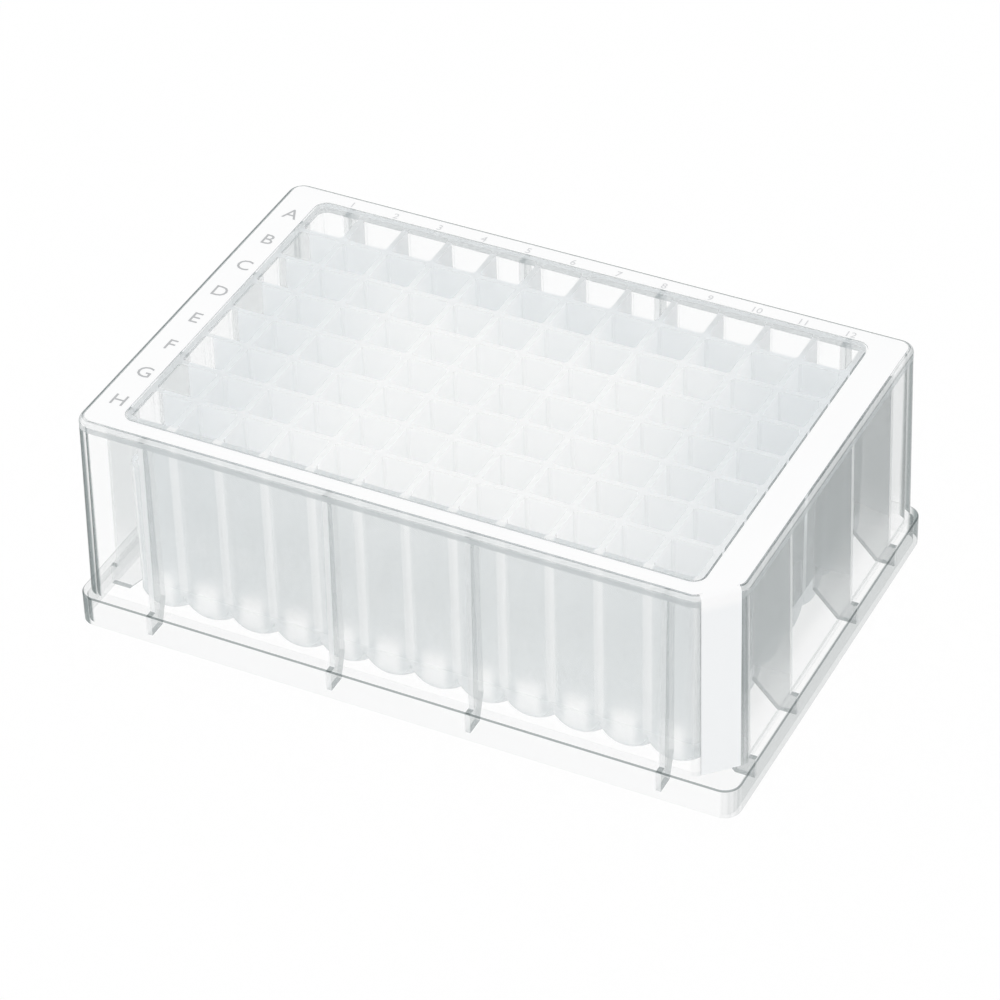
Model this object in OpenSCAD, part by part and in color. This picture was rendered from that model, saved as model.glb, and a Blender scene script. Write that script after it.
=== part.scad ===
// Deep-well plate: 96 square wells with round bottoms in one clear moulding, with an opaque white border.
// Millimetres. The origin is at the centre of the underside, +X runs to column 12 and +Y to row A.
// The moulding is divided where its walls meet, and its rim, skirt, webs, walls and so on touch face to face.

/* [Base] */
// Height of the whole plate
plate_h = 44; // [30:0.5:60]
// How far the base flange stands out past each end of the rim
flange_end = 1.73; // [1.5:0.01:3]
// How far the base flange stands out past each long side of the rim
flange_side = 1.94; // [1.5:0.01:3]
// Corner radius of the base flange
footprint_r = 3.18; // [2.5:0.02:4]
// Height of the base flange
flange_h = 6.1; // [4:0.1:8]
// Wall thickness of the base flange
flange_wall = 0.85; // [0.7:0.05:1]
// Thickness of the ledge that joins the flange to the skirt
ledge_t = 1; // [0.8:0.1:1.5]

/* [Wells] */
// Number of wells along the length
columns = 12; // [6:1:12]
// Number of wells along the width
rows = 8; // [4:1:8]
// Distance between the centres of two neighbouring wells
well_pitch = 9; // [8.8:0.05:9]
// Thickness of the wall between two wells at their mouths
wall_top = 1; // [0.8:0.05:1.4]
// Thickness of that wall where the round bottoms begin
wall_foot = 1.5; // [1.5:0.05:2]
// Corner radius of a well at its mouth, where narrow flats follow the curve
well_corner_r = 0.8; // [0.7:0.1:1.5]
// How much larger the radius of a round bottom is than half of the well's width
bottom_swell = 2.15; // [2.05:0.05:2.5]
// Thickness of the bottom of a well
bottom_t = 0.9; // [0.9:0.1:1.2]
// Height of the lowest point of a well above the underside
bottom_gap = 1.7; // [1:0.1:6]
// Thickness of the outer wall round all the wells
block_wall = 1; // [0.8:0.1:1]
// Radius of the upright corners of that outer wall
block_corner_r = 2; // [1.5:0.1:2.5]

/* [Rim and skirt] */
// Width of the rim at each end of the wells
rim_end = 7.65; // [7.3:0.05:10]
// Width of the rim along each long side of the wells
rim_side = 4.3; // [4:0.05:8]
// Thickness of the rim
rim_t = 2; // [1.5:0.1:3]
// Corner radius of the rim
rim_r = 3; // [2.5:0.1:4]
// Radius of the rounded top edge of the rim
rim_edge_r = 0.95; // [0.6:0.05:1.2]
// How far the rim stands out past the top of the skirt
rim_lip = 0.2; // [0.1:0.05:0.4]
// Thickness of the skirt
skirt_wall = 1; // [0.8:0.1:1.2]
// Corner radius of the skirt at its foot
skirt_r = 3; // [2.8:0.1:4]
// How far each side of the skirt spreads between the rim and the flange
skirt_spread = 0.75; // [0.5:0.05:0.9]
// How much of the rim's length the cut corner takes, beside the last well of the last row
corner_cut = 6.75; // [5:0.05:7]

/* [Webs] */
// Thickness of the webs between the wells and the skirt
web_t = 1; // [0.8:0.1:1.5]
// Length of the lowest edge of a web
web_toe = 3.7; // [3:0.1:4]
// Height of that lowest edge above the underside
web_gap = 1; // [0.5:0.1:2]

/* [White border] */
// Thickness of the white layer, let into the rim and the cut corner
border_t = 0.3; // [0.2:0.05:0.5]
// Distance from the rounded edge of the rim to the border
border_margin = 0.1; // [0.05:0.05:0.5]
// Distance from the outer wall of the wells to the border
border_gap = 0.4; // [0.3:0.1:1]
// Corner radius of the inner edge of the border
border_r = 2.5; // [2:0.1:2.5]

/* [Hidden] */
fine = 64;
clear = [0.84, 0.88, 0.90];
white = [0.97, 0.97, 0.97];
past = 1;

// Width of a well at its mouth and where its round bottom begins
well_mouth = well_pitch - wall_top;
well_foot = well_pitch - wall_foot;

// Half of the length and half of the width of each outline
block_half = [columns - 1, rows - 1] * well_pitch / 2 + [1, 1] * (well_mouth / 2 + block_wall);
rim_half = block_half + [rim_end, rim_side];
skirt_half = rim_half + [1, 1] * (skirt_spread - rim_lip);
flange_half = rim_half + [flange_end, flange_side];

// Radius of the round bottoms inside and outside
bottom_r = well_foot / 2 + bottom_swell;
dome_r = bottom_r + bottom_t;

// Height at which the round bottoms begin, and the heights above it and of the skirt
foot_z = bottom_gap + dome_r;
well_h = plate_h - foot_z;
skirt_h = plate_h - rim_t - flange_h;

// How much wider a well is on each side at its mouth than at its foot
flare = (well_mouth - well_foot) / 2;
foot_r = well_corner_r - flare;

// Directions that the sides and the corner flats of a well face, each with its opposite
flats = [0 : 30 : 150];
flange_edge_r = 0.4;

// Columns and rows whose end wells carry a web
web_columns = [0, round(columns / 3), columns - 1 - round(columns / 3), columns - 1];
web_rows = [0, floor(rows / 4), rows - 1 - floor(rows / 4), rows - 1];

function well_x(i) = (i - (columns - 1) / 2) * well_pitch;
function well_y(j) = (j - (rows - 1) / 2) * well_pitch;

// Centres of the corner arcs of a rounded rectangle, counterclockwise
function rounded(half, r) =
    let (x = half.x - r, y = half.y - r)
    [[x, y], [-x, y], [-x, -y], [x, -y]];

// The same, with the corner at +X -Y cut off along the line x - y = reach
function cut_rounded(half, r, reach) =
    let (x = half.x - r, y = half.y - r, c = reach - r * sqrt(2))
    [[x, y], [-x, y], [-x, -y], [c - y, -y], [x, x - c]];

// The cut edge starts at this point of cut_rounded()
cut_edge = 3;
rim_reach = rim_half.x + rim_half.y - corner_cut;
rim_path = cut_rounded(rim_half, rim_r, rim_reach);
skirt_path = cut_rounded(skirt_half, skirt_r, rim_reach + skirt_spread * sqrt(2));
flange_path = rounded(flange_half, footprint_r);

// Next point of a closed path, and the direction that faces outward from the edge between the two
function next(path, i) = path[(i + 1) % len(path)];
function outward(path, i) = let (along = next(path, i) - path[i]) atan2(along.y, along.x) - 90;

// Sweeps a profile along one edge of a path, with its x outward and its y up
module edge(path, i) {
    translate(next(path, i))
        rotate([90, 0, outward(path, i)])
            linear_extrude(norm(next(path, i) - path[i])) children();
}

// Flat shape of a path grown by r
module grown(path, r) {
    polygon(path);
    for (i = [0 : len(path) - 1])
        translate(path[i]) rotate(outward(path, i)) square([r, norm(next(path, i) - path[i])]);
    for (p = path) translate(p) circle(r, $fn = fine);
}

// Sweeps a profile round a whole path and fills the inside to height h; a second profile is for the cut edge
module swept(path, h) {
    linear_extrude(h) polygon(path);
    for (i = [0 : len(path) - 1]) edge(path, i) children(i == cut_edge ? $children - 1 : 0);
    for (p = path) translate(p) rotate_extrude($fn = fine) children(0);
}

// A profile whose outer side leans from low to high
module leaning(low, high, h) {
    polygon([[0, 0], [low, 0], [high, h], [0, h]]);
}

// A profile with an upright outer side and a rounded top edge
module round_topped(r, h, edge_r) {
    square([r, h - edge_r]);
    square([r - edge_r, h]);
    translate([r - edge_r, h - edge_r]) circle(edge_r, $fn = fine);
}

// An upright prism between two heights, over a path grown by r
module prism(path, r, low, high) {
    translate([0, 0, low]) linear_extrude(high - low) grown(path, r);
}

// The block of wells as if it were solid, between two heights
module block(low, high) {
    prism(rounded(block_half, block_corner_r), block_corner_r, low, high);
}

// How much farther out than a side the flat that faces a direction lies
function flat_reach(turn) = (well_foot / 2 - foot_r) * (abs(cos(turn)) + abs(sin(turn)) - 1);

// The width of a well at each height, reaching past both ends, or the width between two of its flats
module well_outline(turn = 0) {
    lean = flare * past / well_h;
    low = well_foot / 2 + flat_reach(turn) - lean;
    high = well_mouth / 2 + flat_reach(turn) + lean;
    polygon([
        [-low, foot_z - past],
        [low, foot_z - past],
        [high, plate_h + past],
        [-high, plate_h + past]
    ]);
}

// The space between two row walls, along the whole block
module row_space(j) {
    translate([-block_half.x - past, well_y(j), 0])
        rotate([90, 0, 90])
            linear_extrude(2 * (block_half.x + past)) well_outline();
}

// The space between two column walls, across the whole block
module column_space(i) {
    translate([well_x(i), block_half.y + past, 0])
        rotate([90, 0, 0])
            linear_extrude(2 * (block_half.y + past)) well_outline();
}

// The space in one well above its round bottom, narrowing downward
module well_space() {
    intersection_for (turn = flats)
        rotate([0, 0, turn])
            translate([0, well_pitch, 0])
                rotate([90, 0, 0])
                    linear_extrude(2 * well_pitch) well_outline(turn);
}

// The space in the round bottom of one well
module bottom_space() {
    intersection() {
        sphere(bottom_r, $fn = fine);
        translate([0, 0, -bottom_r - past])
            linear_extrude(bottom_r + 2 * past)
                intersection_for (turn = flats)
                    rotate(turn) square([well_foot + 2 * flat_reach(turn), 2 * well_pitch], center = true);
    }
}

// The solid round bottom of one well, out to the middle of the walls that it shares
module dome(i, j) {
    half = well_pitch / 2;
    outer = well_mouth / 2 + block_wall;
    low = [i == 0 ? outer : half, j == 0 ? outer : half];
    high = [i == columns - 1 ? outer : half, j == rows - 1 ? outer : half];
    intersection() {
        sphere(dome_r, $fn = fine);
        translate([-low.x, -low.y, -dome_r]) cube([low.x + high.x, low.y + high.y, dome_r]);
    }
}

// The white layer on the flat top of the rim, reaching `extra` above it
module rim_layer(extra = 0) {
    difference() {
        prism(rim_path, rim_r - rim_edge_r - border_margin, plate_h - border_t, plate_h + extra);
        prism(
            rounded(block_half + [1, 1] * border_gap, border_r), border_r,
            plate_h - border_t - past, plate_h + extra + past
        );
    }
}

// Profiles of the rim, and of the rim without the white layer that wraps over it at the cut corner
module rim_profile() {
    round_topped(rim_r, rim_t, rim_edge_r);
}

module bare_profile() {
    round_topped(rim_r - border_t, rim_t - border_t, rim_edge_r - border_t);
}

// The solid shape inside the skirt's outer or inner face, moved in by `inset`
module skirt_solid(inset) {
    translate([0, 0, flange_h])
        swept(skirt_path, skirt_h)
            leaning(skirt_r - inset, skirt_r - inset - skirt_spread, skirt_h);
}

// The white layer on the skirt's face at the cut corner
module skirt_layer() {
    translate([0, 0, flange_h])
        edge(skirt_path, cut_edge)
            polygon([
                [skirt_r - border_t, 0],
                [skirt_r, 0],
                [skirt_r - skirt_spread, skirt_h],
                [skirt_r - skirt_spread - border_t, skirt_h]
            ]);
}

// One web along +X, from the block of wells to the skirt and the flange, at their distances from the centre
module web(inside, skirt_foot, flange_inside) {
    translate([0, web_t / 2, 0])
        rotate([90, 0, 0])
            linear_extrude(web_t)
                polygon([
                    [inside, plate_h - rim_t],
                    [inside, flange_h],
                    [flange_inside - web_toe, web_gap],
                    [flange_inside, web_gap],
                    [flange_inside, flange_h - ledge_t],
                    [skirt_foot, flange_h - ledge_t],
                    [skirt_foot, flange_h],
                    [skirt_foot - skirt_spread, plate_h - rim_t]
                ]);
}

module rim() {
    color(clear)
        difference() {
            translate([0, 0, plate_h - rim_t])
                swept(rim_path, rim_t) {
                    rim_profile();
                    bare_profile();
                }
            block(plate_h - rim_t - past, plate_h + past);
            rim_layer(past);
        }
}

module skirt() {
    color(clear)
        difference() {
            skirt_solid(0);
            skirt_solid(skirt_wall);
            skirt_layer();
        }
}

module base_flange() {
    color(clear)
        difference() {
            swept(flange_path, flange_h) round_topped(footprint_r, flange_h, flange_edge_r);
            prism(flange_path, footprint_r - flange_wall, -past, flange_h - ledge_t);
            prism(skirt_path, skirt_r - skirt_wall, -past, flange_h + past);
        }
}

module webs() {
    color(clear) {
        for (side = [0, 180], j = web_rows)
            translate([0, well_y(j), 0])
                rotate([0, 0, side])
                    web(block_half.x, skirt_half.x - skirt_wall, flange_half.x - flange_wall);
        for (side = [-90, 90], i = web_columns)
            translate([well_x(i), 0, 0])
                rotate([0, 0, side])
                    web(block_half.y, skirt_half.y - skirt_wall, flange_half.y - flange_wall);
    }
}

module row_walls() {
    color(clear)
        difference() {
            block(foot_z, plate_h);
            for (j = [0 : rows - 1]) row_space(j);
        }
}

module column_walls() {
    color(clear)
        difference() {
            intersection() {
                block(foot_z, plate_h);
                union() for (j = [0 : rows - 1]) row_space(j);
            }
            for (i = [0 : columns - 1]) column_space(i);
        }
}

module well_corners() {
    color(clear)
        difference() {
            intersection() {
                block(foot_z, plate_h);
                union() for (j = [0 : rows - 1]) row_space(j);
                union() for (i = [0 : columns - 1]) column_space(i);
            }
            for (i = [0 : columns - 1], j = [0 : rows - 1])
                translate([well_x(i), well_y(j), 0]) well_space();
        }
}

module well_floors() {
    color(clear)
        difference() {
            intersection() {
                block(foot_z - dome_r, foot_z);
                union() for (i = [0 : columns - 1], j = [0 : rows - 1])
                    translate([well_x(i), well_y(j), foot_z]) dome(i, j);
            }
            for (i = [0 : columns - 1], j = [0 : rows - 1])
                translate([well_x(i), well_y(j), foot_z]) bottom_space();
        }
}

module white_border() {
    color(white) {
        rim_layer();
        translate([0, 0, plate_h - rim_t])
            edge(rim_path, cut_edge)
                difference() {
                    rim_profile();
                    bare_profile();
                }
        skirt_layer();
    }
}

rim();
skirt();
base_flange();
webs();
row_walls();
column_walls();
well_corners();
well_floors();
white_border();
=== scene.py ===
"""Studio scene for a clear deep-well plate with a white printed border.

The plate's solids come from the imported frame. Each gets a node-based material here. The row letters
and column numbers are new pieces on the border. The floor, the world, two lamps and the camera follow.
"""

import math

import bpy
from mathutils import Matrix, Vector


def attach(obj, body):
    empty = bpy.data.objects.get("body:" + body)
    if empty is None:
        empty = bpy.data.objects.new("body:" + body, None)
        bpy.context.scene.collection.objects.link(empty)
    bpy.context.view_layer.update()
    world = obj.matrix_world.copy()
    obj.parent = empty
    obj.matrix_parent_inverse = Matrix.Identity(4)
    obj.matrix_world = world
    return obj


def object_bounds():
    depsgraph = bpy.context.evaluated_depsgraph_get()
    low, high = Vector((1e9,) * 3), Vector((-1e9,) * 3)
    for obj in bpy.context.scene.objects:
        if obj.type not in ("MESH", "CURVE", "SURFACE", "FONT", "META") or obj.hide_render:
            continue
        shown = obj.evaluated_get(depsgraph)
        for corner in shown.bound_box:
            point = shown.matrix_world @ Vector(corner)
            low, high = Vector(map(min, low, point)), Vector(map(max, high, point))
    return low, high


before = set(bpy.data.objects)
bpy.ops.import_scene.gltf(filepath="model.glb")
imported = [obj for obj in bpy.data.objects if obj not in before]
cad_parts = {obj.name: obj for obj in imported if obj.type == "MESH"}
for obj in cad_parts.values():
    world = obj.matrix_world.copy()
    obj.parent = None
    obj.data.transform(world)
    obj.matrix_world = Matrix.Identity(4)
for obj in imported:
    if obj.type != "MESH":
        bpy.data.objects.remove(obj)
cad_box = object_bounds()
low, high = cad_box

MM = 0.001
PITCH = 9.0 * MM


def span(start, end):
    """Two places along one axis of the plate, given in millimetres."""
    return (start * MM, end * MM)


# Places on the plate: where a mark on the plastic starts to show, and where it is at its fullest
MIDDLE = span(-20.0, 20.0)
RIM_EDGE_X = span(60.5, 61.0)
RIM_EDGE_Y = span(39.2, 39.7)
CUT_CORNER_X = span(45.0, 50.0)
CUT_CORNER_Y = span(-25.0, -30.0)
CUT_FACE_Z = span(42.5, 40.0)
SKIRT_SHADE_Z = span(9.0, 18.0)
WEB_HIGH_Z = span(6.0, 20.0)
BLOCK_END_X = span(53.4, 53.6)
BLOCK_END_INSIDE_X = span(52.0, 52.3)
BLOCK_END_BACK_Y = span(-10.0, 30.0)
BLOCK_END_DARK_Y = span(-30.0, 10.0)
LEFT_WALL_X = span(-51.5, -52.0)
INNER_WALLS_Y = span(34.5, 34.3)
BACK_HALF_Y = span(-1.0, 1.0)
WINDOW_Z = span(33.0, 34.5)
WELL_Z = span(15.0, 44.0)
MILKY_Z = span(16.0, 30.0)
WELL_FOOT_Z = span(9.0, 7.0)
SHADED_RIGHT_X = span(20.0, 50.0)
SHADED_RIGHT_Y = span(-35.0, 10.0)
SHADED_LEFT_X = span(-15.0, -50.0)
SHADED_BACK_Y = span(8.0, 34.0)
BACK_ROW_Y = span(27.0, 31.0)
OUTER_ROWS_Y = span(29.0, 31.0)
# Where the painted highlights sit: an oval at each outer-row well's foot and a strip at each column wall
OVAL_TOP_Z = span(13.0, 9.5)
OVAL_BOTTOM_Z = span(3.0, 6.0)
OVAL_ACROSS = span(1.3, 3.2)
STRIP_Z = span(6.0, 10.0)
STRIP_ACROSS = span(1.1, 0.6)

# Colours of the clear plastic: face on, seen along itself, and of its milky part
CLEAR = (0.9985, 0.9992, 0.9992, 1.0)
EDGE_ON = (0.28, 0.32, 0.32, 1.0)
PALE = (0.95, 0.96, 0.965, 1.0)
GREY = (0.62, 0.66, 0.67, 1.0)
RIM_GREY = (0.55, 0.585, 0.595, 1.0)
# Painted shade: the milk greys of the webs at the right end, towards the front and towards the back
WEB_SHADE_NEAR = (0.49, 0.525, 0.53, 1.0)
WEB_SHADE_FAR = (0.38, 0.415, 0.42, 1.0)
# The first is painted shade for the wells' milk lower down; the second is their milk near the top and the
# colour of their painted highlights
WELL_LOW_SHADE = (0.93, 0.95, 0.955, 1.0)
WELL_WHITE = (0.985, 0.99, 0.99, 1.0)
# The next two are painted shade: greyer milk towards the block's right, left and back edges, and on the
# frosted outer long walls
WELL_SHADED = (0.80, 0.835, 0.855, 1.0)
WELL_FROSTED_SHADE = (0.75, 0.78, 0.79, 1.0)
BACK_ROW_GREY = (0.77, 0.79, 0.80, 1.0)
# Painted shade on the column walls' outward faces at the block's ends
BLOCK_END_SHADE = (0.36, 0.395, 0.40, 1.0)
WHITE = (1.0, 1.0, 1.0, 1.0)

# Colours of the border, the ink and the floor; each pair is the two ends of a faint noise
BORDER = (0.93, 0.935, 0.94, 1.0), (0.96, 0.96, 0.96, 1.0)
# Painted shade on the upright face of the cut corner
BORDER_CUT_FACE_SHADE = (0.88, 0.895, 0.905, 1.0)
LETTER_INK = (0.42, 0.43, 0.44, 1.0), (0.52, 0.53, 0.54, 1.0)
NUMBER_INK = (0.62, 0.63, 0.64, 1.0), (0.70, 0.71, 0.72, 1.0)
FLOOR = (0.95, 0.95, 0.95, 1.0)

# The least gloss of the plastic, what grazing adds to it, and how rough the shell and the wells are
SHINE = 0.015
SHINE_GRAZING = 0.5
SHELL_ROUGHNESS = 0.08
WELL_ROUGHNESS = 0.15

# The share of the tint, the milk and the gloss that counts on rays other than the camera's own
LET_THROUGH = 0.03

# Labels: the share of the font size that a capital takes up, the thickness of the ink, and how far
# each row's letter and each column's number sits off the middle of its row or column
CAP_SHARE = 0.70
INK_T = 0.02 * MM
LETTER_X = -57.6 * MM
LETTER_DOWN = 1.0 * MM
LETTER_HEIGHT = 3.0 * MM
NUMBER_Y = 37.9 * MM
NUMBER_RIGHT = 0.8 * MM
NUMBER_HEIGHT = 1.6 * MM

# Room, in metres; the strengths of the floor's glow and of the world; and each lamp's power in watts
FLOOR_HALF = 3.0
FLOOR_GAP = 0.05 * MM
FLOOR_GLOW = 0.94
WORLD_LOW = 1.04
WORLD_HIGH = 0.97
LAMP_POWER = 0.4

# Camera, in metres and degrees; the lens and the sensor are in millimetres
CAMERA_AT = (0.27183, -0.53234, 0.48255)
CAMERA_AZIMUTH = 27.090
CAMERA_ELEVATION = 37.871
CAMERA_ROLL = -1.552
CAMERA_LENS = 153.30
SENSOR = 36.0


def add_camera():
    """The camera, from its place, the direction it looks in and its roll about that direction."""
    az, el, roll = (math.radians(v) for v in (CAMERA_AZIMUTH, CAMERA_ELEVATION, CAMERA_ROLL))
    forward = Vector((-math.sin(az) * math.cos(el), math.cos(az) * math.cos(el), -math.sin(el)))
    level = forward.cross(Vector((0, 0, 1))).normalized()
    upward = level.cross(forward)
    right = level * math.cos(roll) + upward * math.sin(roll)
    up = right.cross(forward)
    data = bpy.data.cameras.new("camera")
    data.lens = CAMERA_LENS
    data.sensor_width = SENSOR
    data.clip_start, data.clip_end = 0.01, 20.0
    camera = bpy.data.objects.new("camera", data)
    turn = Matrix((right, up, -forward)).transposed().to_4x4()
    camera.matrix_world = Matrix.Translation(CAMERA_AT) @ turn
    bpy.context.scene.collection.objects.link(camera)
    bpy.context.scene.camera = camera


class Graph:
    """The node tree of a new material, with short ways to add nodes to it."""

    def __init__(self, name):
        self.material = bpy.data.materials.new(name)
        self.material.use_nodes = True
        self.tree = self.material.node_tree
        self.tree.nodes.clear()
        self.place = self.node("ShaderNodeTexCoord").outputs["Object"]

    def node(self, kind, inputs=None, **settings):
        return add_node(self.tree, kind, inputs, **settings)

    def math(self, operation, *values, clamp=False):
        keys = dict(enumerate(values))
        return self.node("ShaderNodeMath", keys, operation=operation, use_clamp=clamp).outputs[0]

    def times(self, *values):
        result = values[0]
        for value in values[1:]:
            result = self.math("MULTIPLY", result, value)
        return result

    def power(self, value, exponent):
        return self.math("POWER", value, exponent)

    def size(self, value):
        return self.math("ABSOLUTE", value)

    def either(self, first, second):
        return self.math("MAXIMUM", first, second)

    def rise(self, value, start, end):
        """0 up to start, 1 from end, smooth between them. start may be above end."""
        ramp = {"Value": value, "From Min": start, "From Max": end}
        return self.node("ShaderNodeMapRange", ramp, interpolation_type="SMOOTHSTEP").outputs[0]

    def blend(self, factor, first, second):
        keys = {"Factor": factor, 2: first, 3: second}
        return self.node("ShaderNodeMix", keys, data_type="FLOAT").outputs[0]

    def tint(self, factor, first, second):
        keys = {"Factor": factor, 6: first, 7: second}
        return self.node("ShaderNodeMix", keys, data_type="RGBA").outputs[2]

    def noise(self, scale, detail):
        keys = {"Vector": self.place, "Scale": scale, "Detail": detail}
        return self.node("ShaderNodeTexNoise", keys).outputs["Fac"]

    def bump(self, height, strength, distance):
        keys = {"Strength": strength, "Distance": distance, "Height": height}
        return self.node("ShaderNodeBump", keys).outputs[0]

    def mix_shader(self, factor, first, second):
        return self.node("ShaderNodeMixShader", {0: factor, 1: first, 2: second}).outputs[0]

    def finish(self, shader):
        out = self.node("ShaderNodeOutputMaterial")
        self.tree.links.new(shader, out.inputs["Surface"])
        return self.material


class Plastic(Graph):
    """Clear moulded plastic: what shows through it, a milky part and a gloss."""

    def __init__(self, name):
        super().__init__(name)
        self.facing = self.node("ShaderNodeLayerWeight", {"Blend": 0.5}).outputs["Facing"]
        straight = self.node("ShaderNodeLightPath").outputs["Is Camera Ray"]
        self.share = self.blend(straight, LET_THROUGH, 1.0)
        self.x, self.y, self.z = self.node("ShaderNodeSeparateXYZ", {0: self.place}).outputs
        normal = self.node("ShaderNodeNewGeometry").outputs["Normal"]
        self.nx, self.ny, self.nz = self.node("ShaderNodeSeparateXYZ", {0: normal}).outputs
        self.cloud = self.noise(55.0, 2.0)

    def rounded_corner(self, at_cut):
        """How far this is an upright rounded corner seen along itself.

        The right edge of the cut corner counts only at_cut of that.
        """
        corner = self.rise(self.size(self.times(self.nx, self.ny)), 0.08, 0.3)
        cut = self.times(self.rise(self.x, *CUT_CORNER_X), self.rise(self.y, *CUT_CORNER_Y))
        short_side = self.times(cut, self.rise(self.size(self.nx), 0.65, 0.75))
        return self.times(corner, self.rise(self.facing, 0.2, 0.55), self.blend(short_side, 1.0, at_cut))

    def milkiness(self, haze, graze):
        """haze face on, and graze more than that along the surface, both with a faint cloud in them."""
        amount = self.math("MULTIPLY_ADD", self.times(self.facing, self.facing), graze, haze)
        return self.times(amount, self.math("MULTIPLY_ADD", self.cloud, 0.5, 0.75))

    def cast(self, dark, opacity, milk, roughness):
        """The material: tinted by dark, milky by opacity in the colour milk, with a faint ripple."""
        ripple = self.bump(self.noise(420.0, 1.0), 0.06, 0.0005)
        colour = self.tint(self.times(dark, self.share), CLEAR, EDGE_ON)
        see_through = self.node("ShaderNodeBsdfTransparent", {"Color": colour}).outputs[0]
        lit = self.node("ShaderNodeBsdfDiffuse", {"Color": milk, "Normal": ripple}).outputs[0]
        glow = self.node("ShaderNodeBsdfTranslucent", {"Color": milk}).outputs[0]
        opacity = self.math("MULTIPLY", opacity, self.share, clamp=True)
        body = self.mix_shader(opacity, see_through, self.mix_shader(0.5, lit, glow))
        shine = self.math("MULTIPLY_ADD", self.power(self.facing, 5.0), SHINE_GRAZING, SHINE)
        shine = self.times(shine, self.share)
        keys = {"Color": WHITE, "Roughness": roughness, "Normal": ripple}
        gloss = self.node("ShaderNodeBsdfGlossy", keys).outputs[0]
        return self.finish(self.mix_shader(shine, body, gloss))


def add_node(tree, kind, inputs=None, **settings):
    """A new node; inputs are sockets to link from, or plain values."""
    made = tree.nodes.new(kind)
    for key, value in settings.items():
        setattr(made, key, value)
    for key, value in (inputs or {}).items():
        if isinstance(value, bpy.types.NodeSocket):
            tree.links.new(value, made.inputs[key])
        else:
            made.inputs[key].default_value = value
    return made


def rim_plastic():
    """Grey upright sides, a fine line round the top face, a dark line where the edge turns away, and a
    painted highlight of pale milk on the rounded edge at the front and right.
    """
    g = Plastic("clear_rim")
    side = g.rise(g.size(g.nz), 0.35, 0.05)
    line = g.times(g.rise(g.nz, 0.88, 0.93), g.rise(g.nz, 0.995, 0.98))
    fillet = g.times(g.rise(g.nz, 0.2, 0.4), g.rise(g.nz, 0.97, 0.9))
    outermost = g.either(g.rise(g.size(g.x), *RIM_EDGE_X), g.rise(g.size(g.y), *RIM_EDGE_Y))
    rounded = g.times(outermost, g.rise(g.nz, 0.1, 0.3), g.rise(g.nz, 0.998, 0.985))
    turned = g.times(rounded, g.rise(g.facing, 0.40, 0.50))
    dark = g.either(g.power(g.facing, 6.0), g.either(g.times(line, 0.33), turned))
    # Painted highlight: pale milk on the rounded top edge, only on its front and right sides
    painted_highlight_edge = g.times(fillet, g.either(g.rise(g.ny, 0.05, -0.15), g.rise(g.nx, -0.05, 0.15)))
    opacity = g.either(g.milkiness(0.01, 0.1), g.either(g.times(side, 0.6), g.times(painted_highlight_edge, 0.6)))
    return g.cast(dark, opacity, g.tint(side, PALE, RIM_GREY), SHELL_ROUGHNESS)


def skirt_plastic():
    """The clearest part, darker in its rounded corners, and with painted shade up its right half, where
    it darkens sooner as it turns away.
    """
    g = Plastic("clear_skirt")
    # Painted shade: up the right half the surface darkens sooner as it turns away
    shaded = g.times(g.rise(g.z, *SKIRT_SHADE_Z), g.rise(g.x, *MIDDLE))
    dark = g.either(g.power(g.facing, g.blend(shaded, 8.0, 5.2)), g.rounded_corner(0.35))
    return g.cast(dark, g.milkiness(0.004, 0.05), PALE, SHELL_ROUGHNESS)


def flange_plastic():
    """Clear, with a dark line along its rounded top edge and in its corners."""
    g = Plastic("clear_flange")
    fillet = g.times(g.rise(g.nz, 0.1, 0.25), g.rise(g.nz, 0.97, 0.88))
    dark = g.either(g.power(g.facing, 4.0), g.either(g.times(fillet, 0.8), g.rounded_corner(0.25)))
    return g.cast(dark, g.milkiness(0.004, 0.2), GREY, SHELL_ROUGHNESS)


def web_plastic():
    """Greyer than the rest, most of all at the right end, where that is painted shade; with a pale outer
    edge that is a painted highlight, and a dark lower one.
    """
    g = Plastic("clear_webs")
    at_end = g.rise(g.size(g.x), *BLOCK_END_X)
    at_right = g.rise(g.x, *BLOCK_END_X)
    # Painted highlight: a pale line of milk on the webs' end faces
    edge = g.rise(g.blend(at_end, g.size(g.ny), g.size(g.nx)), 0.8, 0.95)
    under = g.rise(g.size(g.nz), 0.1, 0.3)
    high = g.rise(g.z, *WEB_HIGH_Z)
    # Painted shade: the webs at the right end are more opaque and greyer, greyest towards the back
    side = g.blend(at_right, g.blend(high, 0.13, 0.26), g.blend(high, 0.35, 0.60))
    side = g.times(side, g.math("MULTIPLY_ADD", g.cloud, 0.3, 0.85))
    opacity = g.blend(edge, side, 0.6)
    dark = g.either(g.power(g.facing, 4.0), g.times(under, 0.7))
    grey = g.tint(at_right, GREY, g.tint(g.rise(g.y, *MIDDLE), WEB_SHADE_NEAR, WEB_SHADE_FAR))
    return g.cast(dark, opacity, g.tint(edge, grey, PALE), SHELL_ROUGHNESS)


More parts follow.
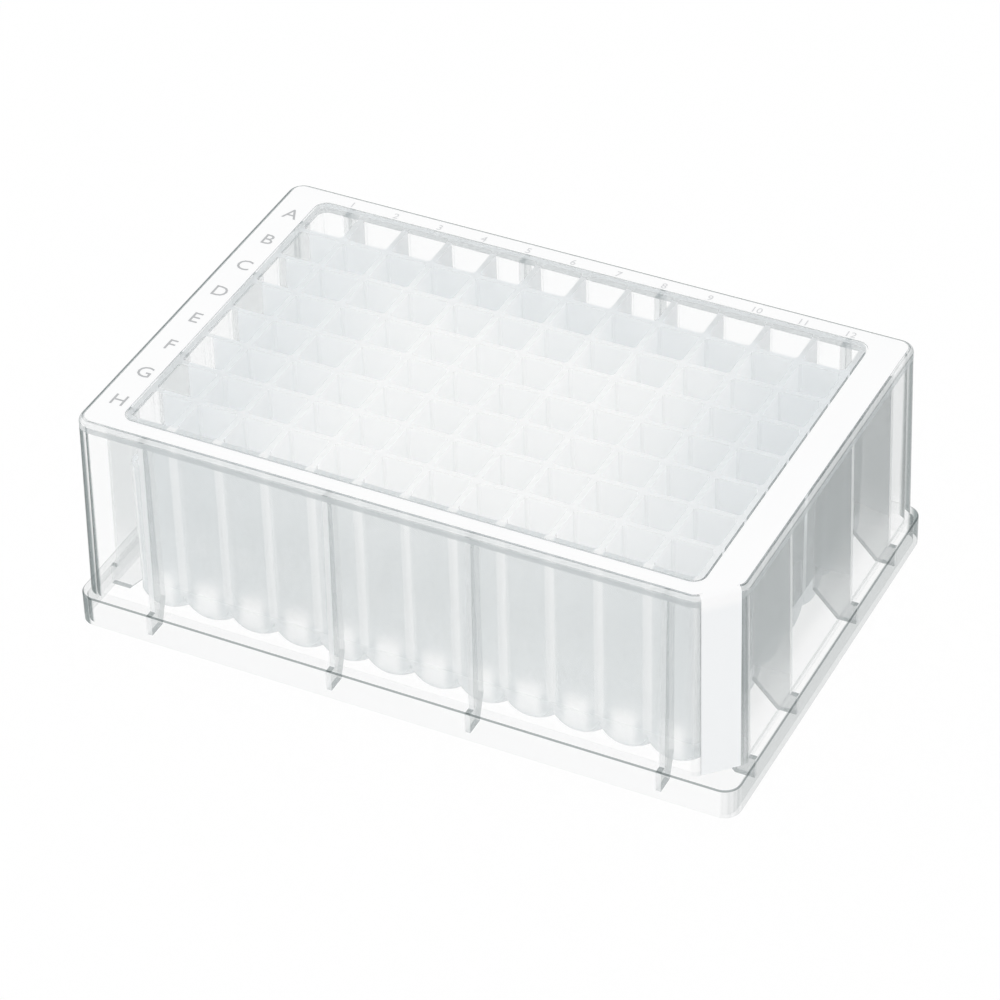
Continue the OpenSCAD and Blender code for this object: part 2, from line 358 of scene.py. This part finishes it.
def well_plastic(name, upper, haze=0.035, edge=12.0, columns=False):
    """The walls and floors of the wells are more milky than the shell, and most of all near the top.

    The outer long walls are frosted, and their milk is greyed with painted shade, with a pale strip at
    each column wall and a pale oval at each well's foot as painted highlights. The milk is also
    painted darker lower down and towards the block's right, left and back edges, as painted shade,
    and for the column walls grey painted shade lies on the block's outward ends. The back wall and
    the left one are clear near the top. upper is how much more milky the inner walls are near the
    top, haze the least milkiness, and edge how late the surface darkens as it turns away.
    """
    g = Plastic(name)
    height = g.rise(g.z, *WELL_Z)
    inner = g.rise(g.size(g.y), *INNER_WALLS_Y)
    outer = g.rise(inner, 1.0, 0.0)
    back_or_left = g.either(g.times(outer, g.rise(g.y, *BACK_HALF_Y)), g.rise(g.x, *LEFT_WALL_X))
    window = g.times(back_or_left, g.rise(g.z, *WINDOW_Z))
    hazy = g.rise(window, 1.0, 0.0)
    # Outer long walls below the windows: more milky as frost, and greyed with painted shade
    frosted_and_shaded = g.times(outer, hazy)
    outward = g.rise(g.times(g.nx, g.x), 0.01, 0.04)
    outer_end = g.times(g.rise(g.size(g.x), *BLOCK_END_X), outward, hazy)
    inner_end = g.times(g.rise(g.size(g.x), *BLOCK_END_INSIDE_X), g.rise(outer_end, 1.0, 0.0))
    inner_end = g.times(inner_end, g.size(g.nx))

    opacity = g.times(g.milkiness(haze, 0.36), g.math("MULTIPLY_ADD", height, 0.5, 1.0))
    opacity = g.times(opacity, g.blend(window, 1.0, 0.15))
    opacity = g.math("MULTIPLY_ADD", g.times(inner, hazy, g.rise(g.z, *MILKY_Z)), upper, opacity)
    opacity = g.math("MULTIPLY_ADD", frosted_and_shaded, 0.33, opacity)
    opacity = g.math("MULTIPLY_ADD", g.rise(g.nz, 0.9, 0.98), 0.6, opacity)
    opacity = g.math("MULTIPLY_ADD", g.times(inner_end, hazy), 0.45, opacity)
    opacity = g.math("MULTIPLY_ADD", g.times(outer_end, g.rise(g.y, *BLOCK_END_BACK_Y)), 0.4, opacity)

    # Painted shade: the milk is darker lower down in the wells
    milk = g.tint(height, WELL_LOW_SHADE, WELL_WHITE)
    # Painted shade: greyer milk towards the block's right, left and back edges
    right = g.times(g.rise(g.x, *SHADED_RIGHT_X), g.blend(g.rise(g.y, *SHADED_RIGHT_Y), 0.4, 0.85))
    ends = g.either(right, g.times(g.rise(g.x, *SHADED_LEFT_X), 0.75))
    back = g.times(g.rise(g.y, *SHADED_BACK_Y), 0.85)
    milk = g.tint(g.either(ends, back), milk, WELL_SHADED)
    if columns:
        milk = g.tint(g.rise(g.y, *BACK_ROW_Y), milk, BACK_ROW_GREY)
        # Painted shade: grey milk on the outward faces at the block's ends
        milk = g.tint(outer_end, milk, BLOCK_END_SHADE)
    else:
        across = g.math("PINGPONG", g.x, PITCH / 2)
        # Painted highlights: a pale oval at the foot of the outer rows' wells, and a pale strip at each
        # column wall on the frosted outer walls
        foot = g.times(g.rise(g.z, *OVAL_TOP_Z), g.rise(g.z, *OVAL_BOTTOM_Z))
        foot = g.times(foot, g.rise(g.size(g.y), *OUTER_ROWS_Y))
        highlight_oval = g.times(g.rise(across, *OVAL_ACROSS), foot)
        highlight_strip = g.times(g.rise(across, *STRIP_ACROSS), g.rise(g.z, *STRIP_Z), frosted_and_shaded)
        # The frosted outer walls' milk is greyed with painted shade
        milk = g.tint(frosted_and_shaded, milk, WELL_FROSTED_SHADE)
        milk = g.tint(g.either(highlight_oval, g.times(highlight_strip, 0.8)), milk, WELL_WHITE)
    below = g.rise(g.z, *WELL_FOOT_Z)
    along = g.blend(g.rise(g.y, *BLOCK_END_DARK_Y), 1.7, 1.1)
    exponent = g.blend(outer_end, g.blend(below, edge, 6.0), along)
    return g.cast(g.power(g.facing, exponent), opacity, milk, WELL_ROUGHNESS)


def white_print():
    """Satin white with a fine grain, with painted shade making it a little darker down the face of the
    cut corner.
    """
    g = Graph("white_border")
    height = g.node("ShaderNodeSeparateXYZ", {0: g.place}).outputs["Z"]
    colour = g.tint(g.noise(90.0, 3.0), *BORDER)
    # Painted shade: a little darker down the face of the cut corner
    colour = g.tint(g.rise(height, *CUT_FACE_Z), colour, BORDER_CUT_FACE_SHADE)
    grain = g.bump(g.noise(2600.0, 2.0), 0.15, 0.0001)
    keys = {"Base Color": colour, "Roughness": 0.38, "Normal": grain}
    return g.finish(g.node("ShaderNodeBsdfPrincipled", keys).outputs[0])


def ink(name, dark, light):
    """Matt ink, mottled between a darker and a lighter grey."""
    g = Graph(name)
    colour = g.tint(g.noise(900.0, 2.0), dark, light)
    keys = {"Base Color": colour, "Roughness": 0.55}
    return g.finish(g.node("ShaderNodeBsdfPrincipled", keys).outputs[0])


def give(node_name, material):
    """Puts a material on every slot of one of the frame's nodes."""
    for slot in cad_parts[node_name].material_slots:
        slot.material = material


def add_label(text, at, height, material):
    """A letter or number as a thin solid on the white border, with its middle at the given place."""
    curve = bpy.data.curves.new("label_" + text, "FONT")
    curve.body = text
    curve.size = height / CAP_SHARE
    curve.align_x, curve.align_y = "CENTER", "CENTER"
    curve.extrude = INK_T / 2
    curve.resolution_u = 3
    letters = bpy.data.objects.new("label_" + text, curve)
    bpy.context.scene.collection.objects.link(letters)
    bpy.context.view_layer.update()
    mesh = bpy.data.meshes.new_from_object(letters)
    bpy.data.objects.remove(letters)
    label = bpy.data.objects.new("label_" + text, mesh)
    label.location = (at[0], at[1], high.z + INK_T / 2)
    bpy.context.scene.collection.objects.link(label)
    mesh.materials.clear()
    mesh.materials.append(material)
    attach(label, "root")


def add_labels():
    grey = ink("grey_ink", *LETTER_INK)
    faint = ink("faint_ink", *NUMBER_INK)
    for j, letter in enumerate("ABCDEFGH"):
        add_label(letter, (LETTER_X, (3.5 - j) * PITCH - LETTER_DOWN), LETTER_HEIGHT, grey)
    for i in range(12):
        add_label(str(i + 1), ((i - 5.5) * PITCH + NUMBER_RIGHT, NUMBER_Y), NUMBER_HEIGHT, faint)


def add_floor():
    """A pale floor that looks white to the camera but keeps some of the plate's shadow."""
    mesh = bpy.data.meshes.new("floor")
    corners = [(x * FLOOR_HALF, y * FLOOR_HALF, 0) for x, y in ((-1, -1), (1, -1), (1, 1), (-1, 1))]
    mesh.from_pydata(corners, [], [(0, 1, 2, 3)])
    floor = bpy.data.objects.new("floor", mesh)
    floor.location.z = low.z - FLOOR_GAP
    bpy.context.scene.collection.objects.link(floor)
    g = Graph("floor")
    path = g.node("ShaderNodeLightPath").outputs
    seen = g.either(path["Is Camera Ray"], g.either(path["Is Glossy Ray"], path["Is Transmission Ray"]))
    dull = g.node("ShaderNodeBsdfDiffuse", {"Color": FLOOR}).outputs[0]
    glow = g.node("ShaderNodeEmission", {"Color": WHITE, "Strength": 1.0}).outputs[0]
    mesh.materials.append(g.finish(g.mix_shader(g.times(seen, FLOOR_GLOW), dull, glow)))


def add_world():
    """White to the camera; to the plate, a soft sky that is a little brighter at the horizon."""
    world = bpy.data.worlds.new("studio")
    world.use_nodes = True
    tree = world.node_tree
    tree.nodes.clear()
    seen = add_node(tree, "ShaderNodeLightPath").outputs["Is Camera Ray"]
    direction = add_node(tree, "ShaderNodeTexCoord").outputs["Generated"]
    up = add_node(tree, "ShaderNodeSeparateXYZ", {0: direction}).outputs["Z"]
    ramp = {"Value": up, "From Min": 0.0, "From Max": 1.0, "To Min": WORLD_LOW, "To Max": WORLD_HIGH}
    strength = add_node(tree, "ShaderNodeMapRange", ramp).outputs[0]
    plain = add_node(tree, "ShaderNodeBackground", {"Color": WHITE, "Strength": strength}).outputs[0]
    white = add_node(tree, "ShaderNodeBackground", {"Color": WHITE, "Strength": 1.0}).outputs[0]
    shown = add_node(tree, "ShaderNodeMixShader", {0: seen, 1: plain, 2: white}).outputs[0]
    out = tree.nodes.new("ShaderNodeOutputWorld")
    tree.links.new(shown, out.inputs["Surface"])
    bpy.context.scene.world = world


def add_area(name, at, size):
    """A soft rectangular lamp that faces the middle of the plate."""
    data = bpy.data.lights.new(name, "AREA")
    data.shape = "RECTANGLE"
    data.size, data.size_y = size
    data.energy = LAMP_POWER
    lamp = bpy.data.objects.new(name, data)
    lamp.location = at
    centre = Vector((0, 0, (low.z + high.z) / 2))
    lamp.rotation_euler = (centre - Vector(at)).to_track_quat("-Z", "Y").to_euler()
    bpy.context.scene.collection.objects.link(lamp)


scene = bpy.context.scene
scene.view_settings.view_transform = "Standard"
scene.cycles.transparent_max_bounces = 96

add_camera()
add_world()
add_floor()
add_area("key", at=(-0.35, 0.25, 1.0), size=(0.9, 0.9))
add_area("front", at=(-0.5, -1.1, 0.5), size=(0.8, 0.6))

give("rim", rim_plastic())
give("skirt", skirt_plastic())
give("base_flange", flange_plastic())
give("webs", web_plastic())
give("row_walls", well_plastic("clear_row_walls", upper=0.65))
give("column_walls", well_plastic("clear_column_walls", upper=0.65, columns=True))
give("well_corners", well_plastic("clear_well_corners", upper=0.65, edge=60.0))
give("well_floors", well_plastic("clear_well_floors", upper=0.0, haze=0.25))
give("white_border", white_print())
add_labels()
